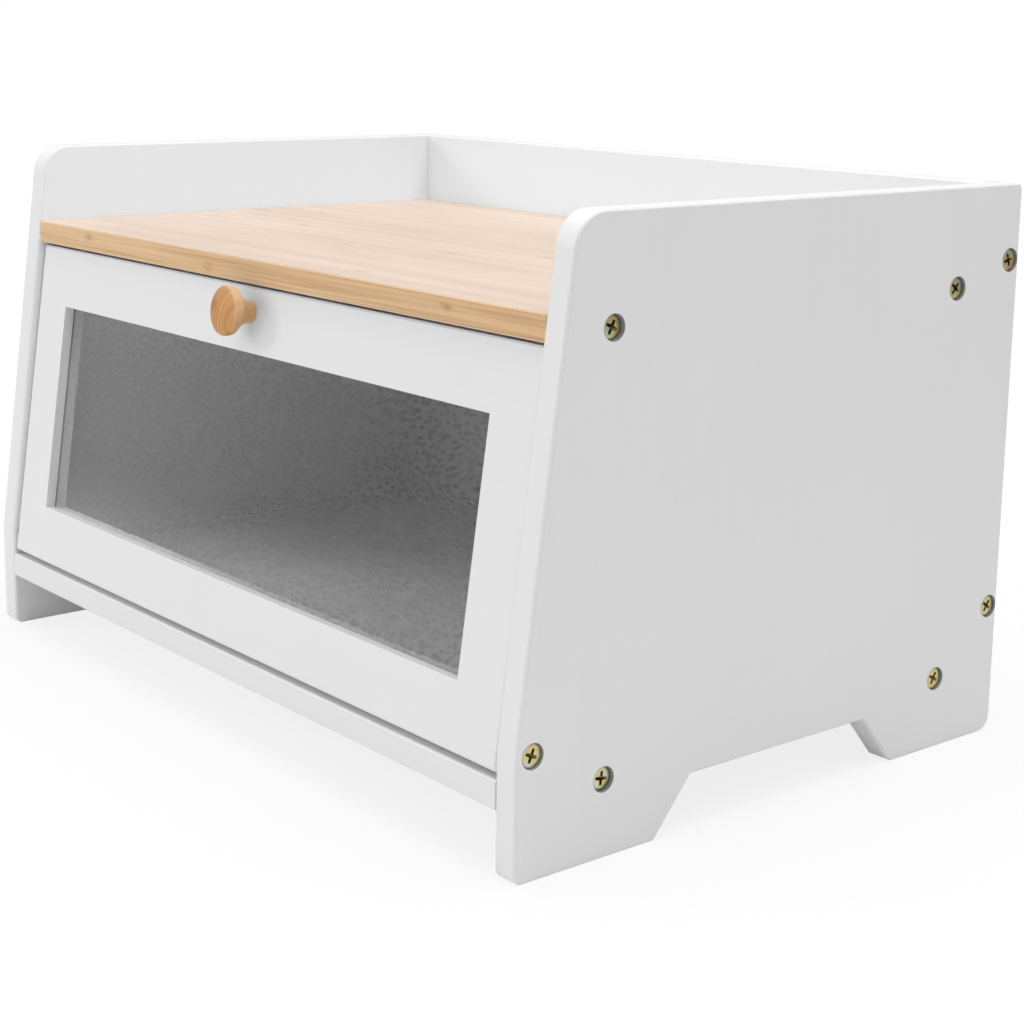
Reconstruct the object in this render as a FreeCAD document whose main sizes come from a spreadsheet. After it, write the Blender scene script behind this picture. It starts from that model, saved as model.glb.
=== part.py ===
import FreeCAD, Part
import os

import Sketcher

# Bread box with a glazed drop-down front. Millimetres, degrees.
# Origin: centre of the footprint, on the table. +X to the right, +Y to the back, +Z up.
SIZES = {
    # cabinet
    "body_width": 430,
    "body_depth": 285,
    "body_height": 252,
    "side_thickness": 12,
    "back_thickness": 12,
    "floor_thickness": 12,
    "shelf_thickness": 11.2,
    "floor_height": 26.5,
    "shelf_height": 202.8,
    "edge_ease": 0.8,
    # outline of the two side panels
    "front_upright": 51,
    "front_setback": 26,
    "front_bend_radius": 70,
    "top_front_radius": 15,
    "top_rear_radius": 3,
    "base_front_radius": 4,
    "base_rear_radius": 7,
    "front_foot": 72,
    "rear_foot": 70,
    "notch_run": 19.5,
    "notch_rise": 23.5,
    "notch_radius": 2,
    "rear_foot_radius": 5,
    # wood screws through the side panels
    "screw_shank": 4.5,
    "screw_head": 9.7,
    "screw_length": 40,
    "pivot_screw_length": 30,
    "screw_recess": 1.7,
    "pivot_recess": 0.9,
    "head_play": 0.25,
    "shank_play": 0.05,
    "bore_spare": 1,
    "cross_span": 5,
    "cross_arm": 1.3,
    "cross_depth": 2.2,
    "small_cross_span": 2.8,
    "small_cross_arm": 0.9,
    "small_cross_depth": 0.8,
    "board_screw_front": 44,
    "board_screw_rear": 41.5,
    "back_screw_inset": 33.5,
    # door: a grooved frame around a loose pane, hung on two pivot screws
    "door_tilt": 8,
    "door_thickness": 12,
    "door_side_gap": 1.3,
    "door_top_gap": 1.5,
    "door_recess": 0.7,
    "heel_drop": 10,
    "heel_radius": 2,
    "heel_clearance": 0.6,
    "stile_width": 28.5,
    "top_rail_width": 29.2,
    "bottom_rail_width": 28.5,
    "groove_width": 2.2,
    "groove_depth": 6,
    "tongue_play": 0.05,
    "pane_thickness": 2,
    "pane_edge_play": 0.6,
    # turned knob and its screw
    "knob_below_top": 11.3,
    "knob_head": 22.8,
    "knob_neck": 10,
    "knob_neck_length": 3,
    "knob_waist": 7.4,
    "knob_waist_width": 13.2,
    "knob_rim_back": 11.2,
    "knob_rim_front": 13.9,
    "knob_rim_ease": 1,
    "knob_length": 15.6,
    "knob_screw_shank": 3.8,
    "knob_screw_head": 7.6,
    "knob_screw_head_height": 2.2,
    "knob_screw_reach": 8,
    # magnetic catch under the shelf, which is the door's stop
    "catch_offset": 70,
    "catch_length": 46,
    "catch_block": 26,
    "catch_height": 17,
    "catch_depth": 15,
    "catch_ear": 3,
    "catch_stand_off": 1.2,
    "catch_wall": 2,
    "catch_screw_pitch": 36,
    "catch_slot": 3,
    "catch_screw_shank": 3.4,
    "catch_screw_head": 6.6,
    "catch_screw_head_height": 2,
    "catch_screw_length": 12,
    "magnet_length": 18,
    "magnet_depth": 8.5,
    "magnet_thickness": 5,
    "pole_length": 20,
    "pole_depth": 11,
    "pole_thickness": 1.2,
    "pole_rock": 0.3,
    "strike_gap": 0.3,
    "strike_length": 34,
    "strike_height": 10,
    "strike_thickness": 1,
    "strike_inset": 1,
    "strike_corner_radius": 2,
    "strike_screw_shank": 2.8,
    "strike_screw_length": 9,
}

# Places that follow from the sizes, as spreadsheet expressions.
INNER_HALF = "(dim.body_width / 2 - dim.side_thickness)"
FLOOR_TOP = "(dim.floor_height + dim.floor_thickness)"
FLOOR_MIDDLE = "(dim.floor_height + dim.floor_thickness / 2)"
SHELF_TOP = "(dim.shelf_height + dim.shelf_thickness)"
SHELF_MIDDLE = "(dim.shelf_height + dim.shelf_thickness / 2)"
SHELF_FRONT = (f"(dim.front_setback * ({SHELF_TOP} - dim.front_upright)"
               " / (dim.body_height - dim.front_upright))")
BACK_FRONT = "(dim.body_depth - dim.back_thickness)"
BACK_MIDDLE = "(dim.body_depth - dim.back_thickness / 2)"
SCREW_FRONT = "dim.board_screw_front"
SCREW_REAR = "(dim.body_depth - dim.board_screw_rear)"
BACK_SCREW_LOW = "(dim.floor_height + dim.back_screw_inset)"
BACK_SCREW_HIGH = "(dim.body_height - dim.back_screw_inset)"
SCREW_BORE = "(dim.screw_shank + 2 * dim.shank_play)"
HEAD_BORE = "(dim.screw_head + 2 * dim.head_play)"

HALF_DOOR = "(dim.door_thickness / 2)"
HEEL_REACH = (f"(sqrt(pow(dim.heel_drop - dim.heel_radius; 2) + pow({HALF_DOOR} - dim.heel_radius; 2))"
              " + dim.heel_radius)")
PIVOT_HEIGHT = f"({FLOOR_TOP} + {HEEL_REACH} + dim.heel_clearance)"
PIVOT_SETBACK = (f"(dim.door_recess + {HALF_DOOR} * cos(dim.door_tilt)"
                 " + dim.heel_drop * sin(dim.door_tilt))")
DOOR_RISE = (f"((dim.shelf_height - dim.door_top_gap - {PIVOT_HEIGHT}"
             f" - {HALF_DOOR} * sin(dim.door_tilt)) / cos(dim.door_tilt))")
DOOR_HALF_WIDTH = f"({INNER_HALF} - dim.door_side_gap)"
WINDOW_HALF_WIDTH = f"({DOOR_HALF_WIDTH} - dim.stile_width)"
WINDOW_TOP = f"({DOOR_RISE} - dim.top_rail_width)"
WINDOW_BOTTOM = "(dim.bottom_rail_width - dim.heel_drop)"
TONGUE = "(dim.groove_width / 2 - dim.tongue_play)"
KNOB_RISE = f"({DOOR_RISE} - dim.knob_below_top)"
STRIKE_RISE = f"({DOOR_RISE} - dim.strike_inset - dim.strike_height / 2)"
POLE_FRONT = f"({HALF_DOOR} + dim.strike_thickness + dim.strike_gap)"

doc = FreeCAD.newDocument("bread_box")
sheet = doc.addObject("Spreadsheet::Sheet", "dim")
for row, (name, number) in enumerate(SIZES.items(), start=1):
    sheet.set(f"A{row}", name)
    sheet.set(f"B{row}", str(number))
    sheet.setAlias(f"B{row}", name)
doc.recompute()


def value(expression):
    """The present value of a spreadsheet expression."""
    return float(sheet.evalExpression(expression.replace("dim.", "")))


def new_body(label, x="0", y="0", z="0"):
    """An empty body whose local origin lies at the given place in the cabinet."""
    body = doc.addObject("PartDesign::Body", label)
    body.Label = label
    for axis, expression in (("x", x), ("y", y), ("z", z)):
        body.setExpression(f"Placement.Base.{axis}", expression)
    return body


def cabinet_body(label):
    """A body whose local Y is measured from the cabinet's front edge."""
    return new_body(label, y="-dim.body_depth / 2")


def door_body(label):
    """A body in the closed door's frame: origin on the pivot axis, Z up the leaning door."""
    body = new_body(label, y=f"{PIVOT_SETBACK} - dim.body_depth / 2", z=PIVOT_HEIGHT)
    body.Placement = FreeCAD.Placement(FreeCAD.Vector(), FreeCAD.Rotation(FreeCAD.Vector(1, 0, 0), 1))
    body.setExpression("Placement.Rotation.Angle", "-dim.door_tilt")
    return body


def new_sketch(body, plane, offset=("0", "0", "0")):
    """A sketch on one of the body's own origin planes, shifted in the sketch's own axes."""
    sketch = body.newObject("Sketcher::SketchObject", "Sketch")
    origin = {feature.Role: feature for feature in body.Origin.OriginFeatures}
    sketch.AttachmentSupport = [(origin[plane], "")]
    sketch.MapMode = "FlatFace"
    for axis, expression in zip("xyz", offset):
        sketch.setExpression(f"AttachmentOffset.Base.{axis}", expression)
    return sketch


def hold_point(sketch, geometry, end, x, y):
    """Dimension one point of a sketch from its origin with two expressions."""
    for kind, expression in (("DistanceX", x), ("DistanceY", y)):
        constraint = Sketcher.Constraint(kind, -1, 1, geometry, end, value(expression))
        index = sketch.addConstraint(constraint)
        sketch.setExpression(f"Constraints[{index}]", expression)


def draw_polygon(sketch, points):
    """A closed outline through points given as pairs of expressions."""
    places = [FreeCAD.Vector(value(x), value(y), 0) for x, y in points]
    first = sketch.GeometryCount
    count = len(points)
    for i in range(count):
        sketch.addGeometry(Part.LineSegment(places[i], places[(i + 1) % count]), False)
    for i in range(count):
        following = first + (i + 1) % count
        sketch.addConstraint(Sketcher.Constraint("Coincident", first + i, 2, following, 1))
        hold_point(sketch, first + i, 1, *points[i])


def draw_rectangle(sketch, left, bottom, right, top):
    draw_polygon(sketch, [(left, bottom), (right, bottom), (right, top), (left, top)])


def draw_circle(sketch, x, y, diameter):
    centre = FreeCAD.Vector(value(x), value(y), 0)
    circle = Part.Circle(centre, FreeCAD.Vector(0, 0, 1), value(diameter) / 2)
    index = sketch.addGeometry(circle, False)
    hold_point(sketch, index, 3, x, y)
    constraint = sketch.addConstraint(Sketcher.Constraint("Diameter", index, value(diameter)))
    sketch.setExpression(f"Constraints[{constraint}]", diameter)


def pad(body, sketch, length):
    feature = body.newObject("PartDesign::Pad", "Pad")
    feature.Profile = sketch
    feature.setExpression("Length", length)
    doc.recompute()
    return feature


def pocket(body, sketch, depth, reverse=False):
    """Cut a sketch into the body; a depth of None cuts through everything."""
    before = body.Shape.Volume
    feature = body.newObject("PartDesign::Pocket", "Pocket")
    feature.Profile = sketch
    feature.Reversed = reverse
    if depth is None:
        feature.Type = "ThroughAll"
        feature.Midplane = True
    else:
        feature.setExpression("Length", depth)
    doc.recompute()
    if body.Shape.Volume >= before:
        raise RuntimeError(f"{body.Label}: a pocket cuts nothing")
    return feature


def revolve(body, sketch):
    """Turn a profile about the sketch's own horizontal axis."""
    feature = body.newObject("PartDesign::Revolution", "Revolution")
    feature.Profile = sketch
    feature.ReferenceAxis = (sketch, ["H_Axis"])
    feature.Angle = 360
    doc.recompute()
    return feature


def edges_at(shape, **place):
    """Names of the edges that lie wholly on the given coordinates, such as x=0, z=20."""
    names = []
    for number, edge in enumerate(shape.Edges, start=1):
        spots = [vertex.Point for vertex in edge.Vertexes] + [edge.CenterOfMass]
        if all(abs(getattr(spot, axis) - at) < 1e-4 for spot in spots for axis, at in place.items()):
            names.append(f"Edge{number}")
    return names


def round_edges(body, names, radius):
    if not names:
        raise RuntimeError(f"{body.Label}: no edge found to round by {radius}")
    base = body.Tip
    feature = body.newObject("PartDesign::Fillet", "Fillet")
    feature.Base = (base, names)
    feature.setExpression("Radius", radius)
    doc.recompute()
    return feature


def ease_edges(body, names):
    """Break sharp edges with a small flat."""
    if not names:
        raise RuntimeError(f"{body.Label}: no edge found to ease")
    base = body.Tip
    feature = body.newObject("PartDesign::Chamfer", "Chamfer")
    feature.Base = (base, names)
    feature.setExpression("Size", "dim.edge_ease")
    doc.recompute()
    return feature


def mirror_features(body, features):
    """The same features again on the other side of the body's own YZ plane."""
    feature = body.newObject("PartDesign::Mirrored", "Mirrored")
    origin = {item.Role: item for item in body.Origin.OriginFeatures}
    feature.Originals = features
    feature.MirrorPlane = (origin["YZ_Plane"], [""])
    body.Tip = feature
    doc.recompute()


def mirror_whole(body):
    """Everything made so far in the body again on the other side of its own YZ plane."""
    feature = body.newObject("PartDesign::Mirrored", "Mirrored")
    origin = {item.Role: item for item in body.Origin.OriginFeatures}
    feature.TransformMode = "Whole shape"
    feature.MirrorPlane = (origin["YZ_Plane"], [""])
    body.Tip = feature
    doc.recompute()


def repeat_features(body, features, axis, distance):
    """A second copy of some features at a distance along one of the body's axes."""
    feature = body.newObject("PartDesign::LinearPattern", "LinearPattern")
    origin = {item.Role: item for item in body.Origin.OriginFeatures}
    feature.Originals = features
    feature.Direction = (origin[axis], [""])
    feature.Occurrences = 2
    feature.setExpression("Length", distance)
    body.Tip = feature
    doc.recompute()


# --- cabinet -------------------------------------------------------------------------------------

def countersunk_bores(body, places, face, reverse, recess):
    """Bores through a side panel, each with a straight recess and a seat for a flat screw head."""
    sketch = new_sketch(body, "YZ_Plane", ("0", "0", face))
    for y, z in places:
        draw_circle(sketch, y, z, SCREW_BORE)
    doc.recompute()
    before = body.Shape.Volume
    bore = body.newObject("PartDesign::Hole", "Hole")
    bore.Profile = sketch
    doc.recompute()
    bore.Reversed = reverse
    bore.ThreadType = "None"
    bore.DepthType = "ThroughAll"
    bore.setExpression("Diameter", SCREW_BORE)
    bore.HoleCutType = "Counterdrill"
    bore.HoleCutCustomValues = True
    bore.setExpression("HoleCutDiameter", HEAD_BORE)
    bore.setExpression("HoleCutDepth", recess)
    bore.HoleCutCountersinkAngle = 90
    doc.recompute()
    if body.Shape.Volume >= before:
        raise RuntimeError(f"{body.Label}: the screw bores cut nothing")


def side_panel(label, left_face, outer_face, reverse):
    """One side: leaning front edge, rounded corners, a foot notch and the seven screw bores."""
    body = new_body(label, x=left_face, y="-dim.body_depth / 2")
    sketch = new_sketch(body, "YZ_Plane")
    corners = {
        "base_front": ("0", "0"),
        "front_foot": ("dim.front_foot", "0"),
        "notch_front": ("dim.front_foot + dim.notch_run", "dim.notch_rise"),
        "notch_rear": ("dim.body_depth - dim.rear_foot - dim.notch_run", "dim.notch_rise"),
        "rear_foot": ("dim.body_depth - dim.rear_foot", "0"),
        "base_rear": ("dim.body_depth", "0"),
        "top_rear": ("dim.body_depth", "dim.body_height"),
        "top_front": ("dim.front_setback", "dim.body_height"),
        "front_bend": ("0", "dim.front_upright"),
    }
    draw_polygon(sketch, list(corners.values()))
    pad(body, sketch, "dim.side_thickness")
    rounded = (
        ("top_front", "dim.top_front_radius"),
        ("top_rear", "dim.top_rear_radius"),
        ("base_front", "dim.base_front_radius"),
        ("base_rear", "dim.base_rear_radius"),
        ("front_foot", "dim.notch_radius"),
        ("notch_front", "dim.notch_radius"),
        ("notch_rear", "dim.notch_radius"),
        ("rear_foot", "dim.rear_foot_radius"),
        ("front_bend", "dim.front_bend_radius"),
    )
    for corner, radius in rounded:
        y, z = corners[corner]
        round_edges(body, edges_at(body.Tip.Shape, y=value(y), z=value(z)), radius)
    rims = edges_at(body.Tip.Shape, x=0) + edges_at(body.Tip.Shape, x=value("dim.side_thickness"))
    ease_edges(body, rims)
    fixed = [
        (SCREW_FRONT, SHELF_MIDDLE),
        (SCREW_REAR, SHELF_MIDDLE),
        (SCREW_FRONT, FLOOR_MIDDLE),
        (SCREW_REAR, FLOOR_MIDDLE),
        (BACK_MIDDLE, BACK_SCREW_LOW),
        (BACK_MIDDLE, BACK_SCREW_HIGH),
    ]
    countersunk_bores(body, fixed, outer_face, reverse, "dim.screw_recess")
    countersunk_bores(body, [(PIVOT_SETBACK, PIVOT_HEIGHT)], outer_face, reverse, "dim.pivot_recess")
    return body


def end_bores(body, places, half_length, depth):
    """Pilot bores for the side screws in both ends of a board."""
    sketch = new_sketch(body, "YZ_Plane", ("0", "0", half_length))
    for y, z in places:
        draw_circle(sketch, y, z, SCREW_BORE)
    bores = pocket(body, sketch, depth)
    mirror_features(body, [bores])


FIXED_BORE_DEPTH = "dim.screw_recess + dim.screw_length - dim.side_thickness + dim.bore_spare"


def board(label, front, rear, underside, thickness):
    """A level board between the side panels, its front edges eased."""
    body = cabinet_body(label)
    sketch = new_sketch(body, "XY_Plane", ("0", "0", underside))
    draw_rectangle(sketch, f"-{INNER_HALF}", front, INNER_HALF, rear)
    pad(body, sketch, thickness)
    shape = body.Tip.Shape
    low = value(underside)
    high = low + value(thickness)
    eased = edges_at(shape, y=value(front), z=low) + edges_at(shape, y=value(front), z=high)
    ease_edges(body, eased)
    return body


def top_shelf():
    body = board("top_shelf", SHELF_FRONT, BACK_FRONT, "dim.shelf_height", "dim.shelf_thickness")
    places = [(SCREW_FRONT, SHELF_MIDDLE), (SCREW_REAR, SHELF_MIDDLE)]
    end_bores(body, places, INNER_HALF, FIXED_BORE_DEPTH)
    sketch = new_sketch(body, "XY_Plane", ("0", "0", "dim.shelf_height"))
    for side in ("-", "+"):
        x = f"dim.catch_offset {side} dim.catch_screw_pitch / 2"
        draw_circle(sketch, x, CATCH_MIDDLE, "dim.catch_screw_shank + 2 * dim.shank_play")
    depth = "dim.catch_screw_length - dim.catch_ear + dim.bore_spare"
    pocket(body, sketch, depth, reverse=True)
    return body


def bottom_board():
    body = board("bottom_board", "0", BACK_FRONT, "dim.floor_height", "dim.floor_thickness")
    places = [(SCREW_FRONT, FLOOR_MIDDLE), (SCREW_REAR, FLOOR_MIDDLE)]
    end_bores(body, places, INNER_HALF, FIXED_BORE_DEPTH)
    return body


def back_panel():
    """The upright back, flush with the sides' rear edges, from the bottom board to the top rim."""
    body = cabinet_body("back_panel")
    sketch = new_sketch(body, "XZ_Plane", ("0", "0", "-dim.body_depth"))
    draw_rectangle(sketch, f"-{INNER_HALF}", "dim.floor_height", INNER_HALF, "dim.body_height")
    pad(body, sketch, "dim.back_thickness")
    top = value("dim.body_height")
    shape = body.Tip.Shape
    eased = []
    for depth in (BACK_FRONT, "dim.body_depth"):
        eased += edges_at(shape, y=value(depth), z=top)
    ease_edges(body, eased)
    places = [(BACK_MIDDLE, BACK_SCREW_LOW), (BACK_MIDDLE, BACK_SCREW_HIGH)]
    end_bores(body, places, INNER_HALF, FIXED_BORE_DEPTH)
    return body


# --- wood screws ---------------------------------------------------------------------------------

def cross_recess(body, plane, offset, kind="", reverse=False):
    """The cross in a screw head: kind is empty for a wood screw and small_ for the little ones."""
    half, arm_half = f"dim.{kind}cross_span / 2", f"dim.{kind}cross_arm / 2"
    quarter = [(half, arm_half), (arm_half, arm_half), (arm_half, half)]
    sketch = new_sketch(body, plane, offset)
    outline = []
    for across, up in quarter:
        outline.append((across, up))
    for across, up in reversed(quarter):
        outline.append((f"-{across}", up))
    for across, up in quarter:
        outline.append((f"-{across}", f"-{up}"))
    for across, up in reversed(quarter):
        outline.append((across, f"-{up}"))
    draw_polygon(sketch, outline)
    return pocket(body, sketch, f"dim.{kind}cross_depth", reverse)


def side_screw(body, y, z, recess, length):
    """One countersunk wood screw along X, its flat head just inside the right panel's outer face."""
    head_x = f"(dim.body_width / 2 - {recess})"
    shank = "dim.screw_shank / 2"
    head = "dim.screw_head / 2"
    cone_end = f"{head_x} - ({head} - {shank})"
    tip = f"{head_x} - {length}"
    sketch = new_sketch(body, "XZ_Plane", ("0", z, f"-({y})"))
    draw_polygon(sketch, [
        (tip, "0"),
        (head_x, "0"),
        (head_x, head),
        (cone_end, shank),
        (tip, shank),
    ])
    turned = revolve(body, sketch)
    cross = cross_recess(body, "YZ_Plane", (y, z, head_x))
    return [turned, cross]


def fixed_screws(label, y, z, axis, distance):
    """Four like screws: two places along one axis, in both side panels."""
    body = cabinet_body(label)
    features = side_screw(body, y, z, "dim.screw_recess", "dim.screw_length")
    repeat_features(body, features, axis, distance)
    mirror_whole(body)


def pivot_screws():
    """The two shorter screws that the door turns on."""
    body = cabinet_body("pivot_screws")
    side_screw(body, PIVOT_SETBACK, PIVOT_HEIGHT, "dim.pivot_recess", "dim.pivot_screw_length")
    mirror_whole(body)


# --- door ----------------------------------------------------------------------------------------

def grooved_stile(label, side):
    """An upright of the door frame with the pane's groove along its inner edge."""
    body = door_body(label)
    sketch = new_sketch(body, "XY_Plane", ("0", "0", "-dim.heel_drop"))
    outer = f"{side}{DOOR_HALF_WIDTH}"
    inner = f"{side}{WINDOW_HALF_WIDTH}"
    groove_floor = f"{side}({WINDOW_HALF_WIDTH} + dim.groove_depth)"
    groove = "dim.groove_width / 2"
    draw_polygon(sketch, [
        (outer, f"-{HALF_DOOR}"),
        (inner, f"-{HALF_DOOR}"),
        (inner, f"-{groove}"),
        (groove_floor, f"-{groove}"),
        (groove_floor, groove),
        (inner, groove),
        (inner, HALF_DOOR),
        (outer, HALF_DOOR),
    ])
    pad(body, sketch, f"{DOOR_RISE} + dim.heel_drop")
    round_heel(body)
    ease_edges(body, door_edges(body, z=value(DOOR_RISE)) + door_edges(body, x=value(outer)))
    bore = new_sketch(body, "YZ_Plane", ("0", "0", outer))
    draw_circle(bore, "0", "0", SCREW_BORE)
    depth = ("dim.pivot_recess + dim.pivot_screw_length - dim.side_thickness"
             " - dim.door_side_gap + dim.bore_spare")
    pocket(body, bore, depth, reverse=(side == "-"))
    return body


def door_edges(body, **place):
    """The two edges, on the door's front and back faces, at a height or at a side."""
    half = value(HALF_DOOR)
    return edges_at(body.Tip.Shape, y=-half, **place) + edges_at(body.Tip.Shape, y=half, **place)


def round_heel(body):
    """Round the door's lower edges, which sweep close over the bottom board."""
    round_edges(body, door_edges(body, z=-value("dim.heel_drop")), "dim.heel_radius")


def tongued_rail(label, bottom, top, groove_side):
    """A cross member: grooved for the pane on one edge, with a stub tongue at each end."""
    body = door_body(label)
    half_length = WINDOW_HALF_WIDTH
    sketch = new_sketch(body, "YZ_Plane", ("0", "0", f"-{half_length}"))
    groove = "dim.groove_width / 2"
    inset = "(dim.heel_radius + dim.tongue_play)"
    if groove_side == "bottom":
        far, edge, floor = top, bottom, f"{bottom} + dim.groove_depth"
        low, high = floor, f"{top} - {inset}"
    else:
        far, edge, floor = bottom, top, f"{top} - dim.groove_depth"
        low, high = f"{bottom} + {inset}", floor
    draw_polygon(sketch, [
        (f"-{HALF_DOOR}", far),
        (f"-{HALF_DOOR}", edge),
        (f"-{groove}", edge),
        (f"-{groove}", floor),
        (groove, floor),
        (groove, edge),
        (HALF_DOOR, edge),
        (HALF_DOOR, far),
    ])
    pad(body, sketch, f"2 * {half_length}")
    if groove_side == "bottom":
        ease_edges(body, door_edges(body, z=value(DOOR_RISE)))
    else:
        round_heel(body)
    tongue_reach = f"{half_length} + dim.groove_depth - 2 * dim.tongue_play"
    for side in ("-", ""):
        ends = (half_length, tongue_reach) if side == "" else (tongue_reach, half_length)
        tongue = new_sketch(body, "YZ_Plane", ("0", "0", f"{side}({ends[0]})"))
        draw_rectangle(tongue, f"-{TONGUE}", low, TONGUE, high)
        pad(body, tongue, "dim.groove_depth - 2 * dim.tongue_play")
    return body


def door_top_rail():
    """The upper cross member, bored through for the knob's screw and for the strike's screw."""
    body = tongued_rail("door_top_rail", WINDOW_TOP, DOOR_RISE, "bottom")
    bore = new_sketch(body, "XZ_Plane")
    draw_circle(bore, "0", KNOB_RISE, "dim.knob_screw_shank + 2 * dim.shank_play")
    pocket(body, bore, None)
    pilot = new_sketch(body, "XZ_Plane", ("0", "0", f"-{HALF_DOOR}"))
    draw_circle(pilot, "dim.catch_offset", STRIKE_RISE, "dim.strike_screw_shank + 2 * dim.shank_play")
    pocket(body, pilot, "dim.strike_screw_length - dim.strike_thickness + dim.bore_spare", reverse=True)
    return body


def door_bottom_rail():
    return tongued_rail("door_bottom_rail", "-dim.heel_drop", WINDOW_BOTTOM, "top")


def window_pane():
    """The sheet that floats in the frame's groove on all four sides."""
    body = door_body("window_pane")
    reach = "(dim.groove_depth - dim.pane_edge_play)"
    half = f"({WINDOW_HALF_WIDTH} + {reach})"
    sketch = new_sketch(body, "XZ_Plane", ("0", "0", "-dim.pane_thickness / 2"))
    draw_rectangle(sketch, f"-{half}", f"{WINDOW_BOTTOM} - {reach}", half, f"{WINDOW_TOP} + {reach}")
    pad(body, sketch, "dim.pane_thickness")
    return body


def knob():
    """A turned mushroom knob: straight neck, flared back, eased rim and domed face."""
    body = door_body("knob")
    sketch = new_sketch(body, "YZ_Plane", (f"-{HALF_DOOR}", KNOB_RISE, "0"))
    pilot_depth = "(dim.knob_screw_reach + dim.bore_spare)"
    pilot = "(dim.knob_screw_shank / 2 + dim.shank_play)"
    neck = "dim.knob_neck / 2"
    head = "dim.knob_head / 2"
    face = "(dim.knob_head / 2 - dim.knob_rim_ease)"
    points = [
        (f"-{pilot_depth}", "0"),
        (f"-{pilot_depth}", pilot),
        ("0", pilot),
        ("0", neck),
        ("-dim.knob_neck_length", neck),
        ("-dim.knob_waist", "dim.knob_waist_width / 2"),
        ("-dim.knob_rim_back", face),
        ("-(dim.knob_rim_back + dim.knob_rim_ease)", head),
        ("-(dim.knob_rim_front - dim.knob_rim_ease)", head),
        ("-dim.knob_rim_front", face),
        ("-dim.knob_length", "0"),
    ]
    spots = [FreeCAD.Vector(value(x), value(y), 0) for x, y in points]
    crown = len(points) - 2
    sag = spots[crown].x - spots[crown + 1].x
    radius = (spots[crown].y ** 2 + sag * sag) / (2 * sag)
    centre = spots[crown + 1] + FreeCAD.Vector(radius, 0, 0)
    dome = Part.Circle(centre, FreeCAD.Vector(0, 0, 1), radius)
    for i, start in enumerate(spots):
        end = spots[(i + 1) % len(spots)]
        if i == crown:
            sketch.addGeometry(Part.ArcOfCircle(dome, dome.parameter(start), dome.parameter(end)), False)
        else:
            sketch.addGeometry(Part.LineSegment(start, end), False)
    for i in range(len(points)):
        sketch.addConstraint(Sketcher.Constraint("Coincident", i, 2, (i + 1) % len(points), 1))
        hold_point(sketch, i, 1, *points[i])
    sketch.addConstraint(Sketcher.Constraint("PointOnObject", crown, 3, -1))
    revolve(body, sketch)
    return body


def knob_screw():
    """A pan head screw from the back of the top rail into the knob."""
    body = door_body("knob_screw")
    sketch = new_sketch(body, "YZ_Plane", (HALF_DOOR, KNOB_RISE, "0"))
    head = "dim.knob_screw_head / 2"
    shank = "dim.knob_screw_shank / 2"
    tip = "-(dim.door_thickness + dim.knob_screw_reach)"
    draw_polygon(sketch, [
        (tip, "0"),
        ("dim.knob_screw_head_height", "0"),
        ("dim.knob_screw_head_height", head),
        ("0", head),
        ("0", shank),
        (tip, shank),
    ])
    revolve(body, sketch)
    offset = ("0", KNOB_RISE, f"-({HALF_DOOR} + dim.knob_screw_head_height)")
    cross_recess(body, "XZ_Plane", offset, "small_", reverse=True)
    return body


# --- catch ---------------------------------------------------------------------------------------

STRIKE_TOP_SETBACK = (f"({PIVOT_SETBACK} + ({STRIKE_RISE} + dim.strike_height / 2) * sin(dim.door_tilt)"
                      f" + ({HALF_DOOR} + dim.strike_thickness) * cos(dim.door_tilt))")
CATCH_FRONT = f"({STRIKE_TOP_SETBACK} + dim.catch_stand_off)"
CATCH_MIDDLE = f"({CATCH_FRONT} + dim.catch_depth / 2)"
STACK = "(dim.magnet_thickness + 2 * dim.pole_thickness)"
STACK_HEIGHT = (f"({PIVOT_HEIGHT} + {STRIKE_RISE} * cos(dim.door_tilt)"
                f" - ({POLE_FRONT} + dim.pole_depth / 2) * sin(dim.door_tilt))")
STACK_SPACE = (f"({STACK} * cos(dim.door_tilt) + dim.pole_depth * sin(dim.door_tilt)"
               " + 2 * dim.pole_rock)")


def catch_housing():
    """A moulded block with a slotted ear on each side and a window for the magnet stack."""
    body = new_body("catch_housing", x="dim.catch_offset", y="-dim.body_depth / 2", z="dim.shelf_height")
    sketch = new_sketch(body, "XZ_Plane", ("0", "0", f"-({CATCH_FRONT} + dim.catch_depth)"))
    block, ear = "dim.catch_block / 2", "dim.catch_length / 2"
    draw_polygon(sketch, [
        (f"-{ear}", "0"),
        (f"-{ear}", "-dim.catch_ear"),
        (f"-{block}", "-dim.catch_ear"),
        (f"-{block}", "-dim.catch_height"),
        (block, "-dim.catch_height"),
        (block, "-dim.catch_ear"),
        (ear, "-dim.catch_ear"),
        (ear, "0"),
    ])
    pad(body, sketch, "dim.catch_depth")
    low = -value("dim.catch_height")
    x = value(block)
    names = edges_at(body.Tip.Shape, x=-x, z=low) + edges_at(body.Tip.Shape, x=x, z=low)
    ease_edges(body, names)
    window = new_sketch(body, "XZ_Plane", ("0", f"{STACK_HEIGHT} - dim.shelf_height", f"-{CATCH_FRONT}"))
    half_length = "(dim.pole_length / 2 + dim.pole_rock)"
    half_height = f"{STACK_SPACE} / 2"
    draw_rectangle(window, f"-{half_length}", f"-{half_height}", half_length, half_height)
    pocket(body, window, "dim.catch_depth - dim.catch_wall")
    slots = new_sketch(body, "XY_Plane")
    bore_half = "(dim.catch_screw_shank / 2 + dim.shank_play)"
    for side in ("-", ""):
        middle = f"{side}dim.catch_screw_pitch / 2"
        draw_rectangle(slots, f"{middle} - {bore_half}", f"{CATCH_MIDDLE} - dim.catch_slot",
                       f"{middle} + {bore_half}", f"{CATCH_MIDDLE} + dim.catch_slot")
    pocket(body, slots, None)
    return body


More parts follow.
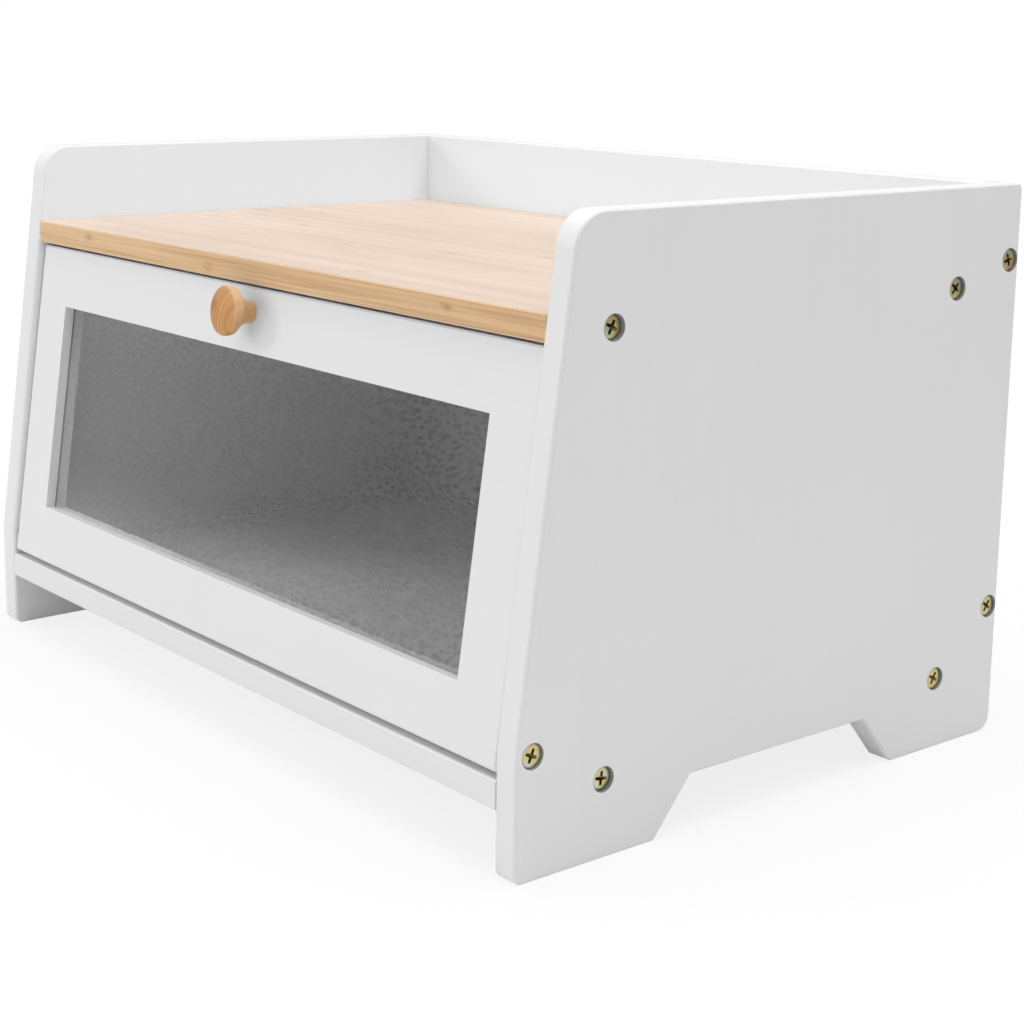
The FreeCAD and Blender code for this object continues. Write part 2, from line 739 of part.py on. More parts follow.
def catch_plate(body, low, high, half_length, front, depth):
    """One flat piece of the magnet stack, standing square to the closed door."""
    sketch = new_sketch(body, "XY_Plane", ("dim.catch_offset", "0", low))
    draw_rectangle(sketch, f"-{half_length}", front, half_length, f"{front} + {depth}")
    return pad(body, sketch, f"{high} - ({low})")


def catch_magnet():
    body = door_body("catch_magnet")
    half = "dim.magnet_thickness / 2"
    front = f"({POLE_FRONT} + dim.pole_depth - dim.magnet_depth)"
    catch_plate(body, f"{STRIKE_RISE} - {half}", f"{STRIKE_RISE} + {half}",
                "dim.magnet_length / 2", front, "dim.magnet_depth")
    return body


def catch_pole_plates():
    body = door_body("catch_pole_plates")
    gap = "dim.magnet_thickness / 2"
    for low, high in ((gap, f"{gap} + dim.pole_thickness"), (f"-({gap} + dim.pole_thickness)", f"-{gap}")):
        catch_plate(body, f"{STRIKE_RISE} + {low}", f"{STRIKE_RISE} + {high}",
                    "dim.pole_length / 2", POLE_FRONT, "dim.pole_depth")
    return body


def catch_screws():
    """Two pan head screws up through the housing's ears into the shelf."""
    body = new_body("catch_screws", x="dim.catch_offset", y="-dim.body_depth / 2")
    seat = "(dim.shelf_height - dim.catch_ear)"
    head = "dim.catch_screw_head / 2"
    shank = "dim.catch_screw_shank / 2"
    middle = "dim.catch_screw_pitch / 2"
    sketch = new_sketch(body, "XZ_Plane", (middle, "0", f"-{CATCH_MIDDLE}"))
    tip = f"{seat} + dim.catch_screw_length"
    draw_polygon(sketch, [
        ("0", f"{seat} - dim.catch_screw_head_height"),
        (head, f"{seat} - dim.catch_screw_head_height"),
        (head, seat),
        (shank, seat),
        (shank, tip),
        ("0", tip),
    ])
    feature = body.newObject("PartDesign::Revolution", "Revolution")
    feature.Profile = sketch
    feature.ReferenceAxis = (sketch, ["V_Axis"])
    feature.Angle = 360
    doc.recompute()
    offset = (middle, CATCH_MIDDLE, f"{seat} - dim.catch_screw_head_height")
    cross_recess(body, "XY_Plane", offset, "small_", reverse=True)
    mirror_whole(body)
    return body


def strike_plate():
    """The steel plate on the back of the door, dimpled for a flush screw."""
    body = door_body("strike_plate")
    back = f"({HALF_DOOR} + dim.strike_thickness)"
    sketch = new_sketch(body, "XZ_Plane", ("dim.catch_offset", STRIKE_RISE, f"-{back}"))
    half_length, half_height = "dim.strike_length / 2", "dim.strike_height / 2"
    draw_rectangle(sketch, f"-{half_length}", f"-{half_height}", half_length, half_height)
    pad(body, sketch, "dim.strike_thickness")
    names = []
    for x in (-1, 1):
        for z in (-1, 1):
            names += edges_at(body.Tip.Shape, x=value("dim.catch_offset") + x * value(half_length),
                              z=value(STRIKE_RISE) + z * value(half_height))
    round_edges(body, names, "dim.strike_corner_radius")
    hole = new_sketch(body, "YZ_Plane", (HALF_DOOR, STRIKE_RISE, "dim.catch_offset"))
    inner = "(dim.strike_screw_shank / 2 + dim.shank_play)"
    outer = f"({inner} + dim.strike_thickness)"
    draw_polygon(hole, [
        ("0", "0"),
        ("dim.strike_thickness", "0"),
        ("dim.strike_thickness", outer),
        ("0", inner),
    ])
    before = body.Shape.Volume
    groove = body.newObject("PartDesign::Groove", "Groove")
    groove.Profile = hole
    groove.ReferenceAxis = (hole, ["H_Axis"])
    groove.Angle = 360
    doc.recompute()
    if body.Shape.Volume >= before:
        raise RuntimeError("strike_plate: the screw hole cuts nothing")
    return body


def strike_screw():
    """The flush screw of the strike plate."""
    body = door_body("strike_screw")
    sketch = new_sketch(body, "YZ_Plane", (HALF_DOOR, STRIKE_RISE, "dim.catch_offset"))
    shank = "dim.strike_screw_shank / 2"
    tip = "(dim.strike_thickness - dim.strike_screw_length)"
    draw_polygon(sketch, [
        (tip, "0"),
        ("dim.strike_thickness", "0"),
        ("dim.strike_thickness", f"{shank} + dim.strike_thickness"),
        ("0", shank),
        (tip, shank),
    ])
    revolve(body, sketch)
    offset = ("dim.catch_offset", STRIKE_RISE, f"-({HALF_DOOR} + dim.strike_thickness)")
    cross_recess(body, "XZ_Plane", offset, "small_", reverse=True)
    return body


side_panel("left_side_panel", "-dim.body_width / 2", "0", True)
side_panel("right_side_panel", INNER_HALF, "dim.side_thickness", False)
top_shelf()
bottom_board()
back_panel()
fixed_screws("shelf_screws", SCREW_FRONT, SHELF_MIDDLE, "Y_Axis", f"{SCREW_REAR} - {SCREW_FRONT}")
fixed_screws("bottom_screws", SCREW_FRONT, FLOOR_MIDDLE, "Y_Axis", f"{SCREW_REAR} - {SCREW_FRONT}")
fixed_screws("back_screws", BACK_MIDDLE, BACK_SCREW_LOW, "Z_Axis", f"{BACK_SCREW_HIGH} - {BACK_SCREW_LOW}")
pivot_screws()
grooved_stile("door_left_stile", "-")
grooved_stile("door_right_stile", "")
door_top_rail()
door_bottom_rail()
window_pane()
knob()
knob_screw()
catch_housing()
catch_magnet()
catch_pole_plates()
catch_screws()
strike_plate()
strike_screw()
doc.recompute()

for item in doc.Objects:
    if "Invalid" in item.State or "Error" in item.State:
        raise RuntimeError(f"{item.Label} is {item.State}")

os.makedirs("parts", exist_ok=True)
for item in doc.Objects:
    if item.TypeId != "PartDesign::Body":
        continue
    if item.Shape.isNull() or not item.Shape.isValid():
        raise RuntimeError(f"{item.Label} has no valid shape")
    item.Shape.exportStep(f"parts/{item.Label}.step")
    print(f"{item.Label}: {len(item.Shape.Solids)} solid(s), {item.Shape.Volume / 1000:.2f} cm3")
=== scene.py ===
"""Looks, light and camera for the bread box with a glazed drop-down front. Metres, part frame."""
import math

import bmesh
import bpy
from mathutils import Matrix, Vector


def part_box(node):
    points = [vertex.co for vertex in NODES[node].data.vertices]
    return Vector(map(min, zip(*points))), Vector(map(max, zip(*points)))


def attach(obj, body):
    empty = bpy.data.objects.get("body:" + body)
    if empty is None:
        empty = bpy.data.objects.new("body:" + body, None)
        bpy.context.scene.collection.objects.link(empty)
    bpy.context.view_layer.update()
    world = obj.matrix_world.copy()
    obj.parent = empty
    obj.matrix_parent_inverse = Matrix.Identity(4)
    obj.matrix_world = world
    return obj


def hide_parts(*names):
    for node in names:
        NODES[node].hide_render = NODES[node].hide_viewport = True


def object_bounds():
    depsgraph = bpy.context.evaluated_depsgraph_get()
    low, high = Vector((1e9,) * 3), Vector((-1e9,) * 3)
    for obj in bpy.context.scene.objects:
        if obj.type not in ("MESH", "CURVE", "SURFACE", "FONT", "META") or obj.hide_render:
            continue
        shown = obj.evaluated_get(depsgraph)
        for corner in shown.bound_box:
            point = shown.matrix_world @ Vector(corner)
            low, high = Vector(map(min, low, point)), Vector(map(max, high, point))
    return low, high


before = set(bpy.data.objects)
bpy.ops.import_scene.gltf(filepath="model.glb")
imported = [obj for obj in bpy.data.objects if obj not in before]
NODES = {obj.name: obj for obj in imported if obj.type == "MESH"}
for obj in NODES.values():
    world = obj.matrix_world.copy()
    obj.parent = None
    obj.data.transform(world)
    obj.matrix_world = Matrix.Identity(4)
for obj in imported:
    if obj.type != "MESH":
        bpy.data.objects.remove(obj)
CAD_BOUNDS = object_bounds()
MM = 0.001

# --- camera and light -----------------------------------------------------------------------------
CAMERA_PLACE = Vector((0.749323, -0.588147, 0.317479))
CAMERA_AIM = Vector((-0.755997, 0.624393, -0.196474))
CAMERA_UP = Vector((-0.160701, 0.113926, 0.980406))
CAMERA_LENS_MM = 69.857
CAMERA_SENSOR_MM = 36
CAMERA_SHIFT_UP = -0.08794

SURROUND_LEVEL = 0.55
SURROUND_IN_GLOSS = 0.45
LAMPS = {
    "top_box": {"place": (0.1, 0.0, 1.5), "size": 1.2, "power": 13.0},
    "top_right_box": {"place": (0.6, 0.1, 1.2), "size": 0.9, "power": 1.9},
    "front_box": {"place": (-0.3, -1.9, 0.6), "size": 1.0, "power": 3.1},
    "left_front_box": {"place": (-1.1, -1.3, 0.8), "size": 0.35, "power": 4.1},
}
FLOOR_HALF = 6.0
FLOOR_TONE = (0.88, 0.88, 0.88)
SHADOW_KEPT = 0.19
SHADOW_FADE = 0.35
GLOSS_FADE = (0.7, 1.2)

# --- sizes that several pieces share --------------------------------------------------------------
BOX_LOW, BOX_HIGH = (Vector(corner) for corner in CAD_BOUNDS)
SHELF_LOW, SHELF_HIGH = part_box("top_shelf")
DOOR_TILT = math.radians(8)
OUT_OF_DOOR = Vector((0, -math.cos(DOOR_TILT), math.sin(DOOR_TILT)))
KNOB_LENGTH = 15.6 * MM
KNOB_TIP = max((vertex.co for vertex in NODES["knob"].data.vertices), key=OUT_OF_DOOR.dot).copy()
SCREW_HEAD = 9.7 * MM
SCREW_SHANK = 4.5 * MM
SCREW_LENGTH = 40 * MM
PIVOT_SCREW_LENGTH = 30 * MM
SCREW_NODES = ("shelf_screws", "bottom_screws", "back_screws", "pivot_screws")


def screw_spots(node):
    """The (y, z) centres of a CAD node's screws: one or two along each side of the node's box."""
    low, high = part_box(node)
    radius = SCREW_HEAD / 2
    centres = []
    for start, end in ((low.y, high.y), (low.z, high.z)):
        one_head_wide = end - start < 3 * radius
        centres.append([(start + end) / 2] if one_head_wide else [start + radius, end - radius])
    return [(y, z) for y in centres[0] for z in centres[1]]


SCREW_SPOTS = {node: screw_spots(node) for node in SCREW_NODES}


# --- node helpers ---------------------------------------------------------------------------------
class Nodes:
    """Short ways to add and link nodes in one tree.

    A source is another node's output socket, or a number, vector or (r, g, b) colour.
    """

    def __init__(self, tree):
        self.tree = tree

    def feed(self, socket, source):
        """Link a source to an input socket, or set the socket to it."""
        if isinstance(source, bpy.types.NodeSocket):
            self.tree.links.new(source, socket)
        elif socket.type == "RGBA":
            socket.default_value = (*source, 1)
        else:
            socket.default_value = source

    def add(self, kind, settings=None, **inputs):
        """A new node with its settings and a source for each named input (_ stands for a space)."""
        node = self.tree.nodes.new(kind)
        for setting, choice in (settings or {}).items():
            setattr(node, setting, choice)
        for socket, source in inputs.items():
            self.feed(node.inputs[socket.replace("_", " ")], source)
        return node

    def math(self, operation, first, second=0.0, third=0.0):
        """A sum on up to three numbers."""
        node = self.add("ShaderNodeMath", {"operation": operation})
        for socket, source in zip(node.inputs, (first, second, third)):
            self.feed(socket, source)
        return node.outputs[0]

    def vector(self, operation, *sources):
        """A sum on vectors, which gives a vector, or a number for a length or dot product."""
        node = self.add("ShaderNodeVectorMath", {"operation": operation})
        for socket, source in zip(node.inputs, sources):
            self.feed(socket, source)
        gives_number = operation in ("LENGTH", "DISTANCE", "DOT_PRODUCT")
        return node.outputs["Value" if gives_number else "Vector"]

    def span(self, source, low, high, to_low=0.0, to_high=1.0, smooth=False):
        """A number mapped from low..high to to_low..to_high, and held beyond both ends."""
        node = self.add("ShaderNodeMapRange", Value=source, From_Min=low, From_Max=high,
                        To_Min=to_low, To_Max=to_high)
        node.interpolation_type = "SMOOTHSTEP" if smooth else "LINEAR"
        return node.outputs["Result"]


class Finish(Nodes):
    """A node material around one Principled shader."""

    def __init__(self, name, **inputs):
        self.material = bpy.data.materials.new(name)
        self.material.use_nodes = True
        super().__init__(self.material.node_tree)
        self.shader = self.tree.nodes["Principled BSDF"]
        self.dress(**inputs)
        self.place = self.add("ShaderNodeTexCoord").outputs["Object"]

    def dress(self, **inputs):
        """Give the shader a source for each named input."""
        for socket, source in inputs.items():
            self.feed(self.shader.inputs[socket.replace("_", " ")], source)

    def axes(self):
        """X, Y and Z of the place on the object."""
        return self.add("ShaderNodeSeparateXYZ", Vector=self.place).outputs[:]

    def stretch(self, scale=(1, 1, 1), offset=(0, 0, 0)):
        """The place on the object, scaled along each axis and then moved."""
        node = self.add("ShaderNodeMapping", Vector=self.place, Scale=scale, Location=offset)
        return node.outputs["Vector"]

    def noise(self, place, scale=1.0, detail=3.0, roughness=0.5, distortion=0.0):
        """Soft noise from 0 to 1, finer as the scale goes up."""
        node = self.add("ShaderNodeTexNoise", Vector=place, Scale=scale, Detail=detail,
                        Roughness=roughness, Distortion=distortion)
        return node.outputs["Fac"]

    def ramp(self, factor, *stops):
        """A colour ramp through (position, colour) stops."""
        node = self.add("ShaderNodeValToRGB", Fac=factor)
        elements = node.color_ramp.elements
        while len(elements) < len(stops):
            elements.new(0.5)
        for element, (position, colour) in zip(elements, stops):
            element.position = position
            element.color = (*colour, 1)
        return node.outputs["Color"]

    def mix(self, factor, first, second, blend="MIX"):
        """The first colour, going over to the second as the factor goes from 0 to 1."""
        node = self.add("ShaderNodeMix", {"data_type": "RGBA", "blend_type": blend})
        inputs = {socket.identifier: socket for socket in node.inputs}
        outputs = {socket.identifier: socket for socket in node.outputs}
        self.feed(inputs["Factor_Float"], factor)
        self.feed(inputs["A_Color"], first)
        self.feed(inputs["B_Color"], second)
        return outputs["Result_Color"]

    def shaded(self, colour, shade):
        """A colour multiplied by another."""
        return self.mix(1.0, colour, shade, "MULTIPLY")

    def neutral_bounce(self, colour, grey):
        """The colour as seen, with a grey in its place where light bounces on to white paint."""
        bounce = self.add("ShaderNodeLightPath").outputs["Is Diffuse Ray"]
        return self.mix(bounce, colour, (grey, grey, grey))

    def soft_edges(self, radius):
        """Normals that round the edges by a radius."""
        return self.add("ShaderNodeBevel", {"samples": 6}, Radius=radius).outputs["Normal"]

    def bump(self, height, distance, strength=1.0, under=None):
        """Normals raised by a height from 0 to 1 times a distance, over other normals if given."""
        node = self.add("ShaderNodeBump", Height=height, Distance=distance, Strength=strength)
        if under is not None:
            self.feed(node.inputs["Normal"], under)
        return node.outputs["Normal"]


# --- materials ------------------------------------------------------------------------------------
def white_paint(name, grain, rounded=True, bores=()):
    """Satin white paint over wood whose fine grain runs along one axis, given as a stretch.

    Where a panel has screw bores, (y, z) centres, their walls are painted dark grey as painted
    shade in the recess.
    """
    bore_reach = 5.3 * MM
    finish = Finish(name, Specular_IOR_Level=0.4)
    fibres = finish.noise(finish.stretch(grain), detail=5.0, roughness=0.6)
    cloud = finish.noise(finish.place, 9.0, detail=2.0)
    tone = finish.ramp(cloud, (0.3, (0.805, 0.806, 0.808)), (0.7, (0.820, 0.820, 0.821)))
    streak = finish.ramp(fibres, (0.35, (0.992, 0.992, 0.992)), (0.6, (1, 1, 1)))
    colour = finish.shaded(tone, streak)
    if bores:
        in_panel = finish.vector("MULTIPLY", finish.place, (0, 1, 1))
        nearest = 1.0
        for y, z in bores:
            away = finish.vector("DISTANCE", in_panel, (0, y, z))
            nearest = finish.math("MINIMUM", nearest, away)
        # Painted shade: the bore walls are coloured grey where shade falls in the recess.
        bore_painted_shade = finish.ramp(fibres, (0.3, (0.28, 0.28, 0.30)), (0.7, (0.38, 0.38, 0.39)))
        colour = finish.mix(finish.math("LESS_THAN", nearest, bore_reach), colour, bore_painted_shade)
    peel = finish.noise(finish.place, 1400.0, detail=1.0)
    edges = finish.soft_edges(1.0 * MM) if rounded else None
    grain_bump = finish.bump(fibres, 0.06 * MM, 0.3, edges)
    finish.dress(Base_Color=colour,
                 Roughness=finish.span(fibres, 0.3, 0.7, 0.42, 0.50),
                 Normal=finish.bump(peel, 0.05 * MM, 0.2, grain_bump))
    return finish.material


def front_knuckles(finish, x, z):
    """How much of a knuckle shows on the bamboo's front edge, from 0 to 1."""
    spots = ((-0.150, 1.6 * MM), (-0.035, -1.6 * MM), (0.143, 0.9 * MM))  # x, rise above the middle
    half_length, half_height = 5.4 * MM, 2.7 * MM
    middle_z = (SHELF_LOW.z + SHELF_HIGH.z) / 2
    shown = 0.0
    for spot_x, rise in spots:
        along = finish.math("DIVIDE", finish.math("SUBTRACT", x, spot_x), half_length)
        up = finish.math("DIVIDE", finish.math("SUBTRACT", z, middle_z + rise), half_height)
        squares = [finish.math("POWER", way, 2.0) for way in (along, up)]
        reach = finish.math("SQRT", finish.math("ADD", *squares))
        shown = finish.math("MAXIMUM", shown, finish.span(reach, 0.2, 1.2, 0.8, 0.0, smooth=True))
    return shown


def bamboo():
    """Narrow bamboo strips glued edge to edge along X, with a broad strip facing the front."""
    strip_width = 6.2 * MM
    front_share = 0.07  # of the first strip's width, which shows as the front edge
    glue_share = 0.06  # of each strip's width, at its two seams
    knuckle_pitch = 0.21
    knuckle_share = 0.05  # of the pitch, to each side of a knuckle
    knuckles_above = 0.7  # only strips whose draw lies above this have knuckles
    finish = Finish("bamboo", Specular_IOR_Level=0.35)
    x, y, z = finish.axes()
    across = finish.math("DIVIDE", finish.math("SUBTRACT", y, SHELF_LOW.y), strip_width)
    strip = finish.math("FLOOR", across)
    draw = finish.add("ShaderNodeTexWhiteNoise", {"noise_dimensions": "1D"}, W=strip)
    chance = draw.outputs["Value"]
    within = finish.math("FRACT", across)
    seam = finish.math("MINIMUM", within, finish.math("SUBTRACT", 1.0, within))
    front = finish.math("LESS_THAN", across, front_share)

    # The top's tone varies from strip to strip, along the strips and over the whole board.
    fine = finish.noise(finish.stretch((7, 900, 900)), detail=4.0, roughness=0.65)
    broad = finish.noise(finish.stretch((6, 120, 120)), distortion=0.4)
    cloud = finish.noise(finish.stretch((7, 14, 14)), detail=2.0)
    tone = finish.math("MULTIPLY_ADD", chance, 0.14, finish.math("MULTIPLY", broad, 0.40))
    tone = finish.math("MULTIPLY_ADD", cloud, 0.46, tone)
    top = finish.ramp(tone, (0.28, (0.625, 0.475, 0.370)), (0.5, (0.705, 0.562, 0.458)),
                      (0.72, (0.770, 0.642, 0.548)))
    edge = finish.ramp(broad, (0.25, (0.69, 0.437, 0.226)), (0.5, (0.745, 0.498, 0.278)),
                       (0.75, (0.79, 0.556, 0.333)))

    # A knuckle is a patch of short dark dashes on the front edge, and a soft smudge on some strips.
    dashes = finish.noise(finish.stretch((170, 900, 1300)), detail=2.0)
    dashed = finish.span(dashes, 0.40, 0.62, 0.20, 0.75, smooth=True)
    shifted = finish.math("MULTIPLY_ADD", chance, 7.0, finish.math("DIVIDE", x, knuckle_pitch))
    away = finish.math("ABSOLUTE", finish.math("SUBTRACT", finish.math("FRACT", shifted), 0.5))
    smudge = finish.span(away, 0.0, knuckle_share, 0.60, 0.0, smooth=True)
    second_draw = finish.math("FRACT", finish.math("MULTIPLY", chance, 37.0))
    some = finish.math("GREATER_THAN", second_draw, knuckles_above)
    smudge = finish.math("MULTIPLY", finish.math("MULTIPLY", smudge, some), dashed)
    top = finish.mix(smudge, top, (0.55, 0.33, 0.21))
    lines = finish.ramp(fine, (0.36, (0.80, 0.74, 0.66)), (0.52, (1, 1, 1)))
    top = finish.mix(0.18, top, finish.shaded(top, lines))
    edge = finish.shaded(edge, lines)
    patches = finish.math("MULTIPLY", front_knuckles(finish, x, z), dashed)
    edge = finish.mix(patches, edge, (0.40, 0.19, 0.07))

    colour = finish.mix(front, top, edge)
    glue = finish.span(seam, 0.0, glue_share, 0.06, 0.0)
    glue = finish.math("MULTIPLY", glue, finish.math("SUBTRACT", 1.0, front))
    colour = finish.mix(glue, colour, (0.50, 0.33, 0.20))
    finish.dress(Base_Color=finish.neutral_bounce(colour, 0.84),
                 Roughness=finish.span(fine, 0.3, 0.7, 0.40, 0.52),
                 Normal=finish.bump(fine, 0.06 * MM, 0.3, finish.soft_edges(0.5 * MM)))
    return finish.material


def turned_wood():
    """Oiled hardwood whose broad growth rings arc across the knob's face, with a painted highlight
    on the rim and painted light on the neck.
    """
    ring_pitch = 2.6 * MM
    ring_heart = KNOB_TIP + Vector((17, 0, -6)) * MM
    ring_squash = Vector((1, 0.35, 1))
    neck_light_reach = (-4.5 * MM, -8.5 * MM)  # behind the tip, between which painted light makes the wood paler toward the neck, where it lies in shade
    rim_highlight_centre = KNOB_TIP + Vector((-1.5, 0, -0.8)) * MM
    rim = (11.2 * MM, 11.8 * MM)  # radii between which the painted highlight on the rim sets in
    stain_centre = KNOB_TIP + Vector((-6.9, 0.5, 2.0)) * MM
    stain = (2.5 * MM, 6.8 * MM)  # radii between which the stain fades
    stain_wander = 5.0 * MM
    finish = Finish("turned_wood", Roughness=0.45, Specular_IOR_Level=0.35, Coat_Weight=0.05,
                    Coat_Roughness=0.3)
    cloud = finish.noise(finish.stretch((70, 70, 30)))
    from_heart = finish.vector("LENGTH", finish.stretch(ring_squash, -ring_heart * ring_squash))
    year = finish.math("MULTIPLY_ADD", cloud, 1.2, finish.math("DIVIDE", from_heart, ring_pitch))
    arcs = finish.add("ShaderNodeTexNoise", {"noise_dimensions": "1D"},
                      W=year, Scale=1.0, Detail=2.0)
    colour = finish.ramp(arcs.outputs["Fac"], (0.28, (0.51, 0.232, 0.070)),
                         (0.5, (0.585, 0.285, 0.096)), (0.74, (0.665, 0.355, 0.142)))

    # Painted light: the neck, which lies in shade, is lightened toward the door.
    outward = finish.vector("DOT_PRODUCT", finish.stretch(offset=-KNOB_TIP), OUT_OF_DOOR)
    painted_neck_light = finish.span(outward, *neck_light_reach, 0.0, 0.7, smooth=True)
    colour = finish.mix(painted_neck_light, colour, (0.72, 0.415, 0.195))
    # Painted highlight: a pale band on the rim, set off centre so that it is widest toward the
    # upper right, where light falls.
    lever = finish.vector("CROSS_PRODUCT", finish.stretch(offset=-rim_highlight_centre), OUT_OF_DOOR)
    painted_rim_highlight = finish.span(finish.vector("LENGTH", lever), *rim, 0.0, 0.55, smooth=True)
    colour = finish.mix(painted_rim_highlight, colour, (0.78, 0.52, 0.31))
    from_stain = finish.math("MULTIPLY_ADD", cloud, stain_wander,
                             finish.vector("DISTANCE", finish.place, stain_centre))
    stained = finish.span(from_stain, *stain, 0.7, 0.0, smooth=True)
    colour = finish.mix(stained, colour, (0.43, 0.155, 0.060))

    pores = finish.noise(finish.stretch((2200, 140, 2200)), detail=2.0)
    flecks = finish.ramp(pores, (0.30, (0.82, 0.76, 0.70)), (0.42, (1, 1, 1)))
    colour = finish.mix(0.5, colour, finish.shaded(colour, flecks))
    finish.dress(Base_Color=finish.neutral_bounce(colour, 0.32),
                 Normal=finish.bump(pores, 0.04 * MM, 0.3))
    return finish.material


def yellow_zinc():
    """Yellow chromated zinc: olive gold that drifts to green and copper, with painted shade that
    darkens it to near black in recesses.
    """
    finish = Finish("yellow_zinc", Metallic=1.0)
    drift = finish.noise(finish.place, 135.0, detail=2.0, distortion=0.5)
    colour = finish.ramp(drift, (0.36, (0.60, 0.63, 0.55)), (0.46, (0.63, 0.58, 0.27)),
                         (0.56, (0.72, 0.54, 0.25)), (0.66, (0.62, 0.39, 0.32)))
    # Painted shade: an occlusion mask darkens the plating in the cross recess and round the head's
    # rim.
    recess_occlusion = finish.add("ShaderNodeAmbientOcclusion", {"samples": 8}, Distance=1.6 * MM)
    unshaded_share = finish.math("POWER", finish.span(recess_occlusion.outputs["AO"], 0.25, 0.85), 1.2)
    scuff = finish.noise(finish.place, 2600.0)
    finish.dress(Base_Color=finish.mix(unshaded_share, (0.050, 0.028, 0.016), colour),
                 Roughness=finish.span(scuff, 0.3, 0.7, 0.26, 0.44),
                 Normal=finish.bump(scuff, 0.03 * MM, 0.3))
    return finish.material


def textured_pane():
    """Acrylic sheet with shallow oval pebbles, deeper toward the right, and painted shade that
    darkens it toward the right.
    """
    pebble_width, pebble_height = 4.4 * MM, 2.7 * MM
    pebble_depth = 0.032 * MM
    left_share = 0.45  # of the pebbles' depth, at the left
    change_start, change_end = -0.17, 0.12  # X between which the pebbles deepen and painted shade darkens the sheet toward the right
    finish = Finish("textured_pane", Transmission_Weight=1.0, Roughness=0.06, IOR=1.49)
    x, _, z = finish.axes()
    wander = finish.math("MULTIPLY", finish.noise(finish.place, 45.0, detail=1.0), 3.0)
    across = finish.math("MULTIPLY_ADD", x, 1 / pebble_width, wander)
    up = finish.math("MULTIPLY_ADD", z, 1 / pebble_height, wander)
    flat = finish.add("ShaderNodeCombineXYZ", X=across, Y=up).outputs["Vector"]
    pebbles = finish.add("ShaderNodeTexVoronoi",
                         {"voronoi_dimensions": "2D", "feature": "SMOOTH_F1"},
                         Vector=flat, Scale=1.0, Smoothness=0.3, Randomness=0.9)
    pebble = finish.span(pebbles.outputs["Distance"], 0.02, 0.48, 1.0, 0.0, smooth=True)
    clouds = finish.span(finish.noise(finish.place, 14.0, detail=2.0), 0.36, 0.62, 0.60, 1.0)
    rightward = finish.span(x, change_start, change_end, smooth=True)
    pressed = finish.math("MULTIPLY_ADD", rightward, 1 - left_share, left_share)
    depth = finish.math("MULTIPLY", finish.math("MULTIPLY", pebble, clouds), pressed)
    # Painted shade: the sheet and its pebbles are coloured darker toward the right.
    sheet = finish.mix(rightward, (0.99, 0.99, 0.99), (0.72, 0.72, 0.725))
    spots = finish.mix(rightward, (0.75, 0.75, 0.755), (0.45, 0.45, 0.455))
    finish.dress(Base_Color=finish.mix(depth, sheet, spots),
                 Normal=finish.bump(depth, pebble_depth))
    return finish.material


def moulded_plastic():
    """Off-white plastic with a fine spark-eroded texture."""
    finish = Finish("catch_plastic", Roughness=0.5)
    mottle = finish.noise(finish.place, 60.0, detail=2.0)
    tone = finish.ramp(mottle, (0.3, (0.74, 0.74, 0.72)), (0.7, (0.79, 0.79, 0.77)))
    spark = finish.noise(finish.place, 3200.0, detail=2.0)
    finish.dress(Base_Color=tone,
                 Normal=finish.bump(spark, 0.05 * MM, 0.35, finish.soft_edges(0.4 * MM)))
    return finish.material


def ferrite():
    """The dull black grains of a ferrite magnet."""
    finish = Finish("ferrite", Roughness=0.72)
    grains = finish.noise(finish.place, 2400.0, detail=4.0)
    tone = finish.ramp(grains, (0.3, (0.035, 0.035, 0.038)), (0.7, (0.075, 0.072, 0.07)))
    finish.dress(Base_Color=tone, Normal=finish.bump(grains, 0.05 * MM, 0.5))
    return finish.material


def bright_steel():
    """Bright steel, brushed along X."""
    finish = Finish("bright_steel", Metallic=1.0)
    brushed = finish.noise(finish.stretch((30, 2500, 2500)))
    tone = finish.ramp(brushed, (0.3, (0.50, 0.51, 0.52)), (0.7, (0.63, 0.63, 0.62)))
    finish.dress(Base_Color=tone,
                 Roughness=finish.span(brushed, 0.3, 0.7, 0.24, 0.42),
                 Normal=finish.bump(brushed, 0.02 * MM, 0.4))
    return finish.material


GRAIN_UPRIGHT = (160, 160, 5)
GRAIN_LEVEL = (5, 160, 160)
SIDE_BORES = sum(SCREW_SPOTS.values(), [])
PAINT_UPRIGHT = white_paint("white_paint_upright", GRAIN_UPRIGHT, bores=SIDE_BORES)
PAINT_LEVEL = white_paint("white_paint_level", GRAIN_LEVEL)
# Rounded normals would draw a line where the door frame's pieces meet flush.
PAINT_DOOR = white_paint("white_paint_door", GRAIN_LEVEL, rounded=False)
BAMBOO = bamboo()
WOOD = turned_wood()
ZINC = yellow_zinc()
PANE = textured_pane()
PLASTIC = moulded_plastic()
FERRITE = ferrite()
STEEL = bright_steel()

NODE_FINISH = {
    "left_side_panel": PAINT_UPRIGHT,
    "right_side_panel": PAINT_UPRIGHT,
    "bottom_board": PAINT_LEVEL,
    "back_panel": PAINT_LEVEL,
    "top_shelf": BAMBOO,
    "door_left_stile": PAINT_DOOR,
    "door_right_stile": PAINT_DOOR,
    "door_top_rail": PAINT_DOOR,
    "door_bottom_rail": PAINT_DOOR,
    "window_pane": PANE,
    "knob": WOOD,
    "shelf_screws": ZINC,
    "bottom_screws": ZINC,
    "back_screws": ZINC,
    "pivot_screws": ZINC,
    "knob_screw": ZINC,
    "catch_screws": ZINC,
    "strike_screw": ZINC,
    "catch_housing": PLASTIC,
    "catch_magnet": FERRITE,
    "catch_pole_plates": STEEL,
    "strike_plate": STEEL,
}
for node_name, finish_material in NODE_FINISH.items():
    for material_slot in NODES[node_name].material_slots:
        material_slot.material = finish_material
NODES["window_pane"].visible_shadow = False  # so that light reaches the inside


